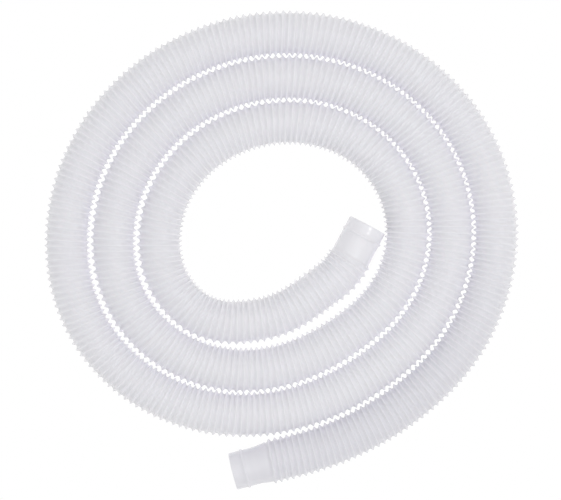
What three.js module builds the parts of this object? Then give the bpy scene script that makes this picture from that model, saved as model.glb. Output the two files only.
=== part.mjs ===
// Pool pump hose, 32 mm bore and 3 m long, lying flat in a spiral of a little over three turns.
//
// The hose and its two smooth end cuffs are one moulding in milky polyethylene, so the part is
// one solid. It is drawn first as a straight hose turned on its own axis, with the bore open
// from mouth to mouth, and is then bent along the spiral. Its outside is an envelope of the
// spiral rib, kept 0.7 mm inside the rib's tips, because the ribs of turns side by side mesh.
//
// Millimetres, +Z up. The hose lies on Z = 0 with the middle of its outline at the origin, and
// the cuff at the outer end points along -X.

import * as THREE from 'three';
import { mergeVertices } from 'three/addons/utils/BufferGeometryUtils.js';

// Section of the hose: a round wall with a spiral rib outside it
const HOSE_BORE = 34;
const HOSE_WALL = 1.3;
const RIB_HEIGHT = 1.7;
const SIDES = 12;

// Cuffs, measured from the mouth inward; the one at the inner end has the thicker wall
const CUFF_BORE = 32;
const OUTER_END_WALL = 1.1;
const INNER_END_WALL = 2.1;
const CUFF_LENGTH = 34;
const BORE_TAPER = 6;
const BEAD_FROM_MOUTH = 11.5;
const BEAD_WIDTH = 2.8;
const BEAD_CREST = 1;
const BEAD_HEIGHT = 1.1;
const FLARE_FROM_MOUTH = 22;
const SHOULDER = 1;

// Spiral: the turns keep to a ring, and each steps inward over the same stretch of it
const FIRST_TURN_RADIUS = 193;
const TURN_GAP = 1.7;
const START_ANGLE = -94;
const END_ANGLE = 1062;
const STATION_ANGLE = 9;
const STEP_IN_FROM = 190;
const STEP_IN_OVER = 124;

// The ring isn't quite round: it is wider one way than the other and a little off centre, and
// from the first turn to the last it drifts across
const OVAL = 5;
const OVAL_ANGLE = 14;
const OFF_CENTRE = 3.6;
const OFF_CENTRE_ANGLE = 210;
const DRIFT = 3.3;
const DRIFT_ANGLE = 38;

// The stiff ends spring out of the ring, and the innermost half turn is pulled in
const OUTER_END_SPRING = 3.2;
const INNER_END_SPRING = 0.2;
const SPRING_OVER = 5.5;
const PULL_IN = 6.2;
const PULL_IN_FROM = 938;
const PULL_IN_OVER = 36;

const ROOT_DIAMETER = HOSE_BORE + 2 * HOSE_WALL;
const CREST_DIAMETER = ROOT_DIAMETER + 2 * RIB_HEIGHT;
const TURN_SPACING = CREST_DIAMETER + TURN_GAP;

const radians = THREE.MathUtils.degToRad;

// Radius of the centreline at an angle counted on through all the turns, in degrees
function ringRadius(angle) {
  const turn = Math.floor((angle - STEP_IN_FROM) / 360);
  const intoStep = (angle - STEP_IN_FROM - 360 * turn) / STEP_IN_OVER;
  const stepsIn = turn + THREE.MathUtils.smoothstep(intoStep, 0, 1);
  const done = (angle - START_ANGLE) / (END_ANGLE - START_ANGLE);
  const oval = OVAL * Math.cos(radians(2 * (angle - OVAL_ANGLE)));
  const offCentre = OFF_CENTRE * Math.cos(radians(angle - OFF_CENTRE_ANGLE));
  const drift = DRIFT * done * Math.cos(radians(angle - DRIFT_ANGLE));
  const outerEnd = OUTER_END_SPRING * Math.exp((START_ANGLE - angle) / SPRING_OVER);
  const innerEnd = INNER_END_SPRING * Math.exp((angle - END_ANGLE) / SPRING_OVER);
  const pullIn = PULL_IN * THREE.MathUtils.smoothstep((angle - PULL_IN_FROM) / PULL_IN_OVER, 0, 1);
  const ring = FIRST_TURN_RADIUS - TURN_SPACING * stepsIn;
  return ring + oval + offCentre + drift + outerEnd + innerEnd - pullIn;
}

function ringPoint(angle) {
  const radius = ringRadius(angle);
  return new THREE.Vector2(radius * Math.cos(radians(angle)), radius * Math.sin(radians(angle)));
}

function ringHeading(angle) {
  const step = 0.01;
  return ringPoint(angle + step).sub(ringPoint(angle - step)).normalize();
}

// Stations along the hose, each with its place, its heading and its length from the outer mouth
function spiralStations() {
  const steps = Math.round((END_ANGLE - START_ANGLE) / STATION_ANGLE);
  const stations = [];
  let length = CUFF_LENGTH;
  for (let i = 0; i <= steps; i += 1) {
    const angle = START_ANGLE + (END_ANGLE - START_ANGLE) * i / steps;
    const place = ringPoint(angle);
    if (i > 0) length += place.distanceTo(stations[i - 1].place);
    stations.push({ place, heading: ringHeading(angle), length });
  }
  return stations;
}

const stations = spiralStations();
const firstStation = stations[0];
const lastStation = stations[stations.length - 1];
const HOSE_LENGTH = lastStation.length + CUFF_LENGTH;

// Place and heading at a station, and along the straight cuffs beyond the first and last ones
function along(length) {
  const awayFrom = (station) => Math.abs(station.length - length);
  const station = stations.reduce((best, each) => (awayFrom(each) < awayFrom(best) ? each : best));
  const place = station.place.clone().addScaledVector(station.heading, length - station.length);
  return { place, heading: station.heading };
}

// Outside of a cuff, as radius and distance from its mouth, up to where the ribs start
function cuffOutside(wall) {
  const radius = CUFF_BORE / 2 + wall;
  const beadRadius = radius + BEAD_HEIGHT;
  return [
    [radius, 0],
    [radius, BEAD_FROM_MOUTH - BEAD_WIDTH / 2],
    [beadRadius, BEAD_FROM_MOUTH - BEAD_CREST / 2],
    [beadRadius, BEAD_FROM_MOUTH + BEAD_CREST / 2],
    [radius, BEAD_FROM_MOUTH + BEAD_WIDTH / 2],
    [radius, FLARE_FROM_MOUTH],
    [(radius + ROOT_DIAMETER / 2) / 2, (FLARE_FROM_MOUTH + CUFF_LENGTH) / 2],
    [ROOT_DIAMETER / 2, CUFF_LENGTH - SHOULDER],
  ];
}

// Closed half section of the straight hose: its outside from mouth to mouth, then back by the bore
function halfSection() {
  const fromFarEnd = ([radius, distance]) => [radius, HOSE_LENGTH - distance];
  const outside = [
    ...cuffOutside(OUTER_END_WALL),
    ...stations.map((station) => [CREST_DIAMETER / 2, station.length]),
    ...cuffOutside(INNER_END_WALL).map(fromFarEnd).reverse(),
  ];
  const cuffBore = [[CUFF_BORE / 2, 0], [CUFF_BORE / 2, CUFF_LENGTH - BORE_TAPER]];
  const bore = [
    ...cuffBore,
    ...stations.map((station) => [HOSE_BORE / 2, station.length]),
    ...cuffBore.map(fromFarEnd).reverse(),
  ];
  const ring = [...outside, ...bore.reverse()];
  ring.push(ring[0]);
  const toCorner = 1 / Math.cos(Math.PI / SIDES);
  return ring.map(([radius, length]) => new THREE.Vector2(radius * toCorner, length));
}

// The turned hose lies along Y: bend it along the spiral, with its flats above and below
function bend(geometry) {
  const turnBack = -Math.atan2(firstStation.heading.y, firstStation.heading.x);
  const origin = new THREE.Vector2();
  const position = geometry.attributes.position;
  for (let i = 0; i < position.count; i += 1) {
    const { place, heading } = along(position.getY(i));
    const sideways = new THREE.Vector2(heading.y, -heading.x);
    const spot = place.clone().addScaledVector(sideways, position.getX(i));
    spot.rotateAround(origin, turnBack);
    position.setXYZ(i, spot.x, spot.y, position.getZ(i) + CREST_DIAMETER / 2);
  }
}

function hoseGeometry() {
  const flatOnTop = Math.PI / SIDES;
  const turned = new THREE.LatheGeometry(halfSection(), SIDES, flatOnTop, 2 * Math.PI);
  bend(turned);
  turned.deleteAttribute('normal');
  turned.deleteAttribute('uv');
  const geometry = mergeVertices(turned, 1e-4);
  geometry.computeBoundingBox();
  const middle = geometry.boundingBox.getCenter(new THREE.Vector3());
  geometry.translate(-middle.x, -middle.y, 0);
  geometry.computeVertexNormals();
  return geometry;
}

const milkyPolyethylene = new THREE.MeshStandardMaterial({
  color: 0xe3e3e9,
  roughness: 0.42,
  metalness: 0,
});

const hose = new THREE.Mesh(hoseGeometry(), milkyPolyethylene);
hose.name = 'hose';

const part = new THREE.Group();
part.name = 'pool_pump_hose';
part.add(hose);

export default part;
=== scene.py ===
import math

import bpy
import numpy as np
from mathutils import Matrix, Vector


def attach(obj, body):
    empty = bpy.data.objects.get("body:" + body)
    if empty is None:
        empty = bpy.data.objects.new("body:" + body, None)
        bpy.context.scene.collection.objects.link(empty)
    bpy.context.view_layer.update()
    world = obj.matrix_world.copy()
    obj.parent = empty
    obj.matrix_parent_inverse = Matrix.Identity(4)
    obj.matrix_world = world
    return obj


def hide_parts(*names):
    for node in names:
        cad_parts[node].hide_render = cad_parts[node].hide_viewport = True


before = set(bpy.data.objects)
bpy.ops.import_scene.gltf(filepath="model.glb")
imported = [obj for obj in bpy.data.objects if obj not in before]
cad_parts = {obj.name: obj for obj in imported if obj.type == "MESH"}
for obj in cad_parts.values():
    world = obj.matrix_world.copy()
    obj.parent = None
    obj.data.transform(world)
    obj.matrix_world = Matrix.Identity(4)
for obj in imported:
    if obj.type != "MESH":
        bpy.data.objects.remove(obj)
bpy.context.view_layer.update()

# The hose's route. The real hose was coiled for the shelf and lies flat on its ribs: a spiral of
# a little over three turns, each stepping inward over the same stretch of the ring. It is the
# route of the part's own solid, in metres, and angles are in degrees.
ENVELOPE_RADIUS = 0.020
CUFF_LENGTH = 0.034
FIRST_TURN_RADIUS = 0.193
TURN_SPACING = 2 * ENVELOPE_RADIUS + 0.0017
START_ANGLE = -94
END_ANGLE = 1062
STEP_IN_FROM = 190
STEP_IN_OVER = 124
OVAL = 0.005
OVAL_ANGLE = 14
OFF_CENTRE = 0.0036
OFF_CENTRE_ANGLE = 210
DRIFT = 0.0033
DRIFT_ANGLE = 38
OUTER_END_SPRING = 0.0032
INNER_END_SPRING = 0.0002
SPRING_OVER = 5.5
PULL_IN = 0.0062
PULL_IN_FROM = 938
PULL_IN_OVER = 36
HEADING_STEP = 0.01
OUTLINE_POINTS = 129
ROUTE_POINTS = 4625


def smooth_step(share):
    share = np.clip(share, 0, 1)
    return share * share * (3 - 2 * share)


def ring_radius(angle):
    turn = np.floor((angle - STEP_IN_FROM) / 360)
    steps_in = turn + smooth_step((angle - STEP_IN_FROM - 360 * turn) / STEP_IN_OVER)
    done = (angle - START_ANGLE) / (END_ANGLE - START_ANGLE)
    oval = OVAL * np.cos(np.radians(2 * (angle - OVAL_ANGLE)))
    off_centre = OFF_CENTRE * np.cos(np.radians(angle - OFF_CENTRE_ANGLE))
    drift = DRIFT * done * np.cos(np.radians(angle - DRIFT_ANGLE))
    outer_end = OUTER_END_SPRING * np.exp((START_ANGLE - angle) / SPRING_OVER)
    inner_end = INNER_END_SPRING * np.exp((angle - END_ANGLE) / SPRING_OVER)
    pull_in = PULL_IN * smooth_step((angle - PULL_IN_FROM) / PULL_IN_OVER)
    ring = FIRST_TURN_RADIUS - TURN_SPACING * steps_in
    return ring + oval + off_centre + drift + outer_end + inner_end - pull_in


def ring_point(angle):
    angle = np.asarray(angle, dtype=float)
    radius = ring_radius(angle)
    turned = np.radians(angle)
    return np.stack([radius * np.cos(turned), radius * np.sin(turned)], axis=-1)


def ring_heading(angle):
    angle = np.asarray(angle)
    ahead = ring_point(angle + HEADING_STEP) - ring_point(angle - HEADING_STEP)
    return ahead / np.linalg.norm(ahead, axis=-1, keepdims=True)


def outward(headings):
    return np.stack([headings[..., 1], -headings[..., 0]], axis=-1)


# The part's frame has the outer cuff along X and the middle of the outline at its origin
first_heading = ring_heading(START_ANGLE)
TURN_BACK = -math.atan2(first_heading[1], first_heading[0])
turn_back = np.array([
    [math.cos(TURN_BACK), math.sin(TURN_BACK)],
    [-math.sin(TURN_BACK), math.cos(TURN_BACK)],
])
outline_angles = np.linspace(START_ANGLE, END_ANGLE, OUTLINE_POINTS)
outline_middle = ring_point(outline_angles)
reach = ENVELOPE_RADIUS * outward(ring_heading(outline_angles))
outline = np.concatenate([outline_middle + reach, outline_middle - reach]) @ turn_back
middle = (outline.max(axis=0) + outline.min(axis=0)) / 2

route_angles = np.linspace(START_ANGLE, END_ANGLE, ROUTE_POINTS)
route_points = ring_point(route_angles) @ turn_back - middle
route_headings = ring_heading(route_angles) @ turn_back
steps = np.linalg.norm(np.diff(route_points, axis=0), axis=1)
route_lengths = CUFF_LENGTH + np.concatenate([[0], np.cumsum(steps)])
HOSE_LENGTH = route_lengths[-1] + CUFF_LENGTH


def on_route(inside, values):
    return np.stack([np.interp(inside, route_lengths, column) for column in values.T], axis=-1)


# Place and heading at a length from the outer mouth, with the cuffs straight beyond the spiral
def along(length):
    length = np.asarray(length, dtype=float)
    inside = np.clip(length, route_lengths[0], route_lengths[-1])
    place = on_route(inside, route_points)
    heading = on_route(inside, route_headings)
    heading /= np.linalg.norm(heading, axis=-1, keepdims=True)
    return place + heading * (length - inside)[..., None], heading


# The camera looks straight down on the coil through a long lens. The picture is 561 x 500, the
# middle of the spiral is at a named place in it, and a pixel is 0.92 mm at the solid's axis.
METRES_PER_PIXEL = 0.00092
PICTURE_WIDTH = 561
PICTURE_MIDDLE = np.array([280.0, 249.5])
SPIRAL_MIDDLE_PIXEL = np.array([284.0, 236.0])
RIGHT_AND_UP = np.array([1, -1])
LENS = 135
SENSOR = 36
FAR_CLIP = 50

from_spiral = (PICTURE_MIDDLE - SPIRAL_MIDDLE_PIXEL) * METRES_PER_PIXEL * RIGHT_AND_UP
looks_at = from_spiral @ turn_back - middle
camera_data = bpy.data.cameras.new("camera")
camera_data.lens = LENS
camera_data.sensor_width = SENSOR
camera_data.clip_end = FAR_CLIP
camera = bpy.data.objects.new("camera", camera_data)
height = METRES_PER_PIXEL * PICTURE_WIDTH * LENS / SENSOR
camera.location = (looks_at[0], looks_at[1], ENVELOPE_RADIUS + height)
camera.rotation_euler = (0, 0, TURN_BACK)
bpy.context.scene.collection.objects.link(camera)
bpy.context.scene.camera = camera


# The hose: one blow-moulded tube of milky polyethylene with a rib that winds round it like a
# thread, about 520 turns of it, and a smooth cuff with a bead at each end in the same moulding.
# It lies on the tips of its ribs, and its bore is open from mouth to mouth.
ROOT_RADIUS = 0.0182
RIB_HEIGHT = 0.0025
CREST_RADIUS = ROOT_RADIUS + RIB_HEIGHT
HOSE_BORE_RADIUS = 0.017
CUFF_BORE_RADIUS = 0.016
OUTER_CUFF_RADIUS = 0.0171
INNER_CUFF_RADIUS = 0.0181
BORE_TAPER = 0.006
BEAD_FROM_MOUTH = 0.0115
BEAD_HEIGHT = 0.0011
FLARE_FROM_MOUTH = 0.022
RIBS_FROM_MOUTH = 0.033
RIB_PITCH = 0.00563
RIB_RUN_OUT = 0.0022
RIB_ROWS_CLEAR = 0.0004
SPARE_RIBS = 4
SEGMENTS = 28
BORE_RINGS = 190

# One rib, as shares of its pitch and of its height: a rounded fin on a flat root
RIB_SHAPE = ((0.14, 0.0), (0.30, 0.45), (0.455, 1.0), (0.545, 1.0), (0.70, 0.45), (0.86, 0.0))
# The cuff's bead, as distance from its middle in metres and share of its height
BEAD_SHAPE = (
    (-0.0018, 0.0), (-0.0012, 0.3), (-0.0007, 0.85), (0.0, 1.0),
    (0.0007, 0.85), (0.0012, 0.3), (0.0018, 0.0),
)
# The rounds at a mouth, as cut off the radius and distance from the mouth in metres
RIM_ROUND = ((0.0005, 0.0), (0.00015, 0.00015), (0.0, 0.0006))
BORE_ROUND = ((-0.0003, 0.0), (0.0, 0.0004))
# Further rings on the plain stretches of a cuff, outside and in its bore, and up its flare
BEFORE_BEAD = 0.005
AFTER_BEAD = 0.018
BORE_MIDWAY = 0.014
FLARE_SHARES = (0.2, 0.4, 0.6, 0.8, 1.0)

around = np.arange(SEGMENTS) * 2 * math.pi / SEGMENTS
hose_points = []
hose_lengths = []
hose_faces = []


# Points round the hose's axis, which lies one crest radius above the floor
def add_points(lengths, radii, angles):
    place, heading = along(lengths)
    side = outward(heading)
    flat = place + side * (radii * np.cos(angles))[:, None]
    up = CREST_RADIUS + radii * np.sin(angles)
    first = len(hose_points)
    hose_points.extend(np.column_stack([flat, up]).tolist())
    hose_lengths.extend(np.asarray(lengths).tolist())
    return list(range(first, len(hose_points)))


def add_ring(length, radius):
    return add_points(np.full(SEGMENTS, length), np.full(SEGMENTS, radius), around)


def join_rings(near, far):
    for column in range(SEGMENTS):
        after = (column + 1) % SEGMENTS
        hose_faces.append((near[column], far[column], far[after], near[after]))


# Outside of a cuff, as radius and distance from its mouth, up to where the ribs start
def cuff_outside(radius):
    rings = [(radius - cut, distance) for cut, distance in RIM_ROUND]
    rings += [(radius, BEFORE_BEAD)]
    rings += [(radius + BEAD_HEIGHT * share, BEAD_FROM_MOUTH + off) for off, share in BEAD_SHAPE]
    rings += [(radius, AFTER_BEAD), (radius, FLARE_FROM_MOUTH)]
    for share in FLARE_SHARES:
        flare = radius + (ROOT_RADIUS - radius) * float(smooth_step(share))
        rings.append((flare, FLARE_FROM_MOUTH + (RIBS_FROM_MOUTH - FLARE_FROM_MOUTH) * share))
    return rings


def from_inner_mouth(rings):
    return [(radius, HOSE_LENGTH - distance) for radius, distance in rings]


def chain(rings):
    made = [add_ring(length, radius) for radius, length in rings]
    for near, far in zip(made, made[1:]):
        join_rings(near, far)
    return made[0], made[-1]


outer_cuff = cuff_outside(OUTER_CUFF_RADIUS)
inner_cuff = from_inner_mouth(cuff_outside(INNER_CUFF_RADIUS))[::-1]
outer_rim, ribs_start = chain(outer_cuff)
ribs_end, inner_rim = chain(inner_cuff)

# The ribbed run: its rows of points follow the thread, so every crest is a clean line
ribs_from = outer_cuff[-1][1]
ribs_to = inner_cuff[0][1]
row_shares = np.array([share for share, _ in RIB_SHAPE])
row_heights = np.array([high for _, high in RIB_SHAPE])
rows_a_turn = len(RIB_SHAPE)
row_count = rows_a_turn * (int((ribs_to - ribs_from) / RIB_PITCH) + SPARE_RIBS)
row_ids = np.arange(-2 * rows_a_turn, row_count)
row_base = ribs_from + RIB_PITCH * (row_ids // rows_a_turn + row_shares[row_ids % rows_a_turn])
columns = []
for angle in around:
    row_lengths = row_base + RIB_PITCH * angle / (2 * math.pi)
    near_end = np.minimum(row_lengths - ribs_from, ribs_to - row_lengths)
    kept = near_end > RIB_ROWS_CLEAR
    row_lengths = row_lengths[kept]
    ids = row_ids[kept]
    rise = row_heights[ids % rows_a_turn] * smooth_step(near_end[kept] / RIB_RUN_OUT)
    radii = ROOT_RADIUS + RIB_HEIGHT * rise
    made = add_points(row_lengths, radii, np.full(len(row_lengths), angle))
    columns.append((int(ids[0]), made))

# Each pair of neighbouring columns is joined row by row, and to the cuffs' rings at their ends.
# Past the last column the thread has climbed by one turn, so its rows are counted on.
for column in range(SEGMENTS):
    after = (column + 1) % SEGMENTS
    first_a, made_a = columns[column]
    first_b, made_b = columns[after]
    if after == 0:
        first_b -= rows_a_turn
    last_a = first_a + len(made_a) - 1
    last_b = first_b + len(made_b) - 1
    first = max(first_a, first_b)
    last = min(last_a, last_b)
    lead_a = made_a[: first - first_a + 1]
    lead_b = made_b[: first - first_b + 1]
    hose_faces.append((ribs_start[column], *lead_a, *lead_b[::-1], ribs_start[after]))
    for row in range(first, last):
        a = row - first_a
        b = row - first_b
        hose_faces.append((made_a[a], made_a[a + 1], made_b[b + 1], made_b[b]))
    tail_a = made_a[last - first_a:]
    tail_b = made_b[last - first_b:]
    hose_faces.append((*tail_a, ribs_end[column], ribs_end[after], *tail_b[::-1]))

# The bore, from the inner mouth back to the outer one, with a small round at each rim
bore_run = np.linspace(HOSE_LENGTH - CUFF_LENGTH, CUFF_LENGTH, BORE_RINGS)
cuff_bore = [(CUFF_BORE_RADIUS - cut, distance) for cut, distance in BORE_ROUND]
cuff_bore += [(CUFF_BORE_RADIUS, BORE_MIDWAY), (CUFF_BORE_RADIUS, CUFF_LENGTH - BORE_TAPER)]
bore = from_inner_mouth(cuff_bore)
bore += [(HOSE_BORE_RADIUS, length) for length in bore_run]
bore += cuff_bore[::-1]
bore_start, bore_end = chain(bore)
join_rings(inner_rim, bore_start)
join_rings(bore_end, outer_rim)

hose_mesh = bpy.data.meshes.new("ribbed_hose")
hose_mesh.from_pydata(hose_points, [], hose_faces)
hose_mesh.polygons.foreach_set("use_smooth", [True] * len(hose_mesh.polygons))
length_layer = hose_mesh.attributes.new("length_along", "FLOAT", "POINT")
length_layer.data.foreach_set("value", hose_lengths)
hose_mesh.update()
ribbed_hose = bpy.data.objects.new("ribbed_hose", hose_mesh)
bpy.context.scene.collection.objects.link(ribbed_hose)


def linear(hex_colour):
    channels = [int(hex_colour[at:at + 2], 16) / 255 for at in (0, 2, 4)]
    return [c / 12.92 if c <= 0.04045 else ((c + 0.055) / 1.055) ** 2.4 for c in channels] + [1.0]


def new_material(name):
    material = bpy.data.materials.new(name)
    material.use_nodes = True
    material.node_tree.nodes.clear()
    return material


# Inputs are named like the node's sockets, with _ for a space, or _6 for socket number 6
def add_node(material, kind, settings=None, **inputs):
    node = material.node_tree.nodes.new(kind)
    for name, value in (settings or {}).items():
        setattr(node, name, value)
    for name, value in inputs.items():
        by_number = name[1:].isdigit()
        socket = node.inputs[int(name[1:]) if by_number else name.replace("_", " ")]
        if isinstance(value, bpy.types.NodeSocket):
            material.node_tree.links.new(value, socket)
        else:
            socket.default_value = value
    return node


# Milky polyethylene, blow moulded: satin, a little waxy, and it scatters light within its wall.
# Near the outer mouth it has painted shade, a darker white that fades out between the two lengths
# below, and its tone varies softly over 30 mm or so.
MILKY = linear("fbfaff")
# Painted shade: the darker white used near the outer mouth
MILKY_PAINTED_SHADE = linear("f2f1f6")
MILKY_WARM = linear("fdfcff")
PAINTED_SHADE_UP_TO = 0.18
PAINTED_SHADE_GONE_BY = 0.42

milky = new_material("blow_moulded_polyethylene")
distance = add_node(milky, "ShaderNodeAttribute", {"attribute_name": "length_along"})
# Mask of the painted shade: full up to the first length, gone by the second
painted_shade_mask = add_node(
    milky, "ShaderNodeMapRange", {"interpolation_type": "SMOOTHSTEP"},
    Value=distance.outputs["Fac"], From_Min=PAINTED_SHADE_UP_TO, From_Max=PAINTED_SHADE_GONE_BY,
)
place = add_node(milky, "ShaderNodeTexCoord")
mottle = add_node(
    milky, "ShaderNodeTexNoise", None,
    Vector=place.outputs["Object"], Scale=33.0, Detail=3.0, Roughness=0.5,
)
base = add_node(
    milky, "ShaderNodeMix", {"data_type": "RGBA"},
    _0=mottle.outputs["Fac"], _6=MILKY, _7=MILKY_WARM,
)
# The mottled tone, with the painted shade laid over it near the outer mouth
tone_and_painted_shade = add_node(
    milky, "ShaderNodeMix", {"data_type": "RGBA"},
    _0=painted_shade_mask.outputs["Result"], _6=MILKY_PAINTED_SHADE, _7=base.outputs[2],
)
grain = add_node(
    milky, "ShaderNodeTexNoise", None,
    Vector=place.outputs["Object"], Scale=1200.0, Detail=2.0,
)
bump = add_node(
    milky, "ShaderNodeBump", None,
    Strength=0.15, Distance=0.0001, Height=grain.outputs["Fac"],
)
shader = add_node(
    milky, "ShaderNodeBsdfPrincipled", {"subsurface_method": "RANDOM_WALK"},
    Base_Color=tone_and_painted_shade.outputs[2], Roughness=0.24, IOR=1.51,
    Subsurface_Weight=0.35, Subsurface_Radius=(1.0, 0.95, 0.95), Subsurface_Scale=0.003,
    Normal=bump.outputs["Normal"],
)
add_node(milky, "ShaderNodeOutputMaterial", None, Surface=shader.outputs["BSDF"])
hose_mesh.materials.append(milky)

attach(ribbed_hose, "root")
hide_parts("hose")
spiral_lengths = np.interp(outline_angles, route_angles, route_lengths)
path_lengths = np.concatenate([[0.0], spiral_lengths, [HOSE_LENGTH]])
path_places, _ = along(path_lengths)


# The floor is a light table of opal acrylic, lit evenly from below. It glows as white as the
# picture's background, beside the hose and in the narrow gaps between its turns.
HALF_TABLE = 4
CORNERS = ((-1, -1), (1, -1), (1, 1), (-1, 1))
floor_corners = [(HALF_TABLE * x, HALF_TABLE * y, 0) for x, y in CORNERS]
floor_mesh = bpy.data.meshes.new("light_table")
floor_mesh.from_pydata(floor_corners, [], [(0, 1, 2, 3)])
floor = bpy.data.objects.new("light_table", floor_mesh)
bpy.context.scene.collection.objects.link(floor)
OPAL_WHITE = linear("ffffff")
opal = new_material("opal_acrylic")
opal_glow = add_node(opal, "ShaderNodeEmission", None, Color=OPAL_WHITE, Strength=1.0)
add_node(opal, "ShaderNodeOutputMaterial", None, Surface=opal_glow.outputs["Emission"])
floor_mesh.materials.append(opal)


# Soft studio light: a broad softbox straight above, a small one to the right that puts a soft
# streak on the cuffs, and a pale surrounding that is a little darker at the horizon.
SKY_WHITE = linear("fdfdff")
SKY_AT_HORIZON = 0.4
SKY_ABOVE = 0.74
DIFFUSE_BOUNCES = 12
ALL_BOUNCES = 16


def add_softbox(name, size, radiance, place):
    data = bpy.data.lights.new(name, "AREA")
    data.shape = "SQUARE"
    data.size = size
    data.energy = radiance * math.pi * size * size
    softbox = bpy.data.objects.new(name, data)
    softbox.location = place
    softbox.rotation_euler = Vector(place).to_track_quat("Z", "Y").to_euler()
    bpy.context.scene.collection.objects.link(softbox)


add_softbox("softbox_above", 3.0, 0.46, (0.0, 0.0, 2.6))
add_softbox("softbox_right", 0.2, 50.0, (1.13, -0.29, 2.2))
world = bpy.data.worlds.new("studio")
world.use_nodes = True
world.node_tree.nodes.clear()
sky = add_node(world, "ShaderNodeTexCoord")
sky_height = add_node(world, "ShaderNodeSeparateXYZ", None, _0=sky.outputs["Generated"])
sky_level = add_node(
    world, "ShaderNodeMapRange", None, Value=sky_height.outputs["Z"],
    From_Min=0.0, From_Max=1.0, To_Min=SKY_AT_HORIZON, To_Max=SKY_ABOVE,
)
surround = add_node(
    world, "ShaderNodeBackground", None,
    Color=SKY_WHITE, Strength=sky_level.outputs["Result"],
)
add_node(world, "ShaderNodeOutputWorld", None, Surface=surround.outputs["Background"])
bpy.context.scene.world = world
bpy.context.scene.view_settings.view_transform = "Standard"
bpy.context.scene.cycles.diffuse_bounces = DIFFUSE_BOUNCES
bpy.context.scene.cycles.max_bounces = ALL_BOUNCES
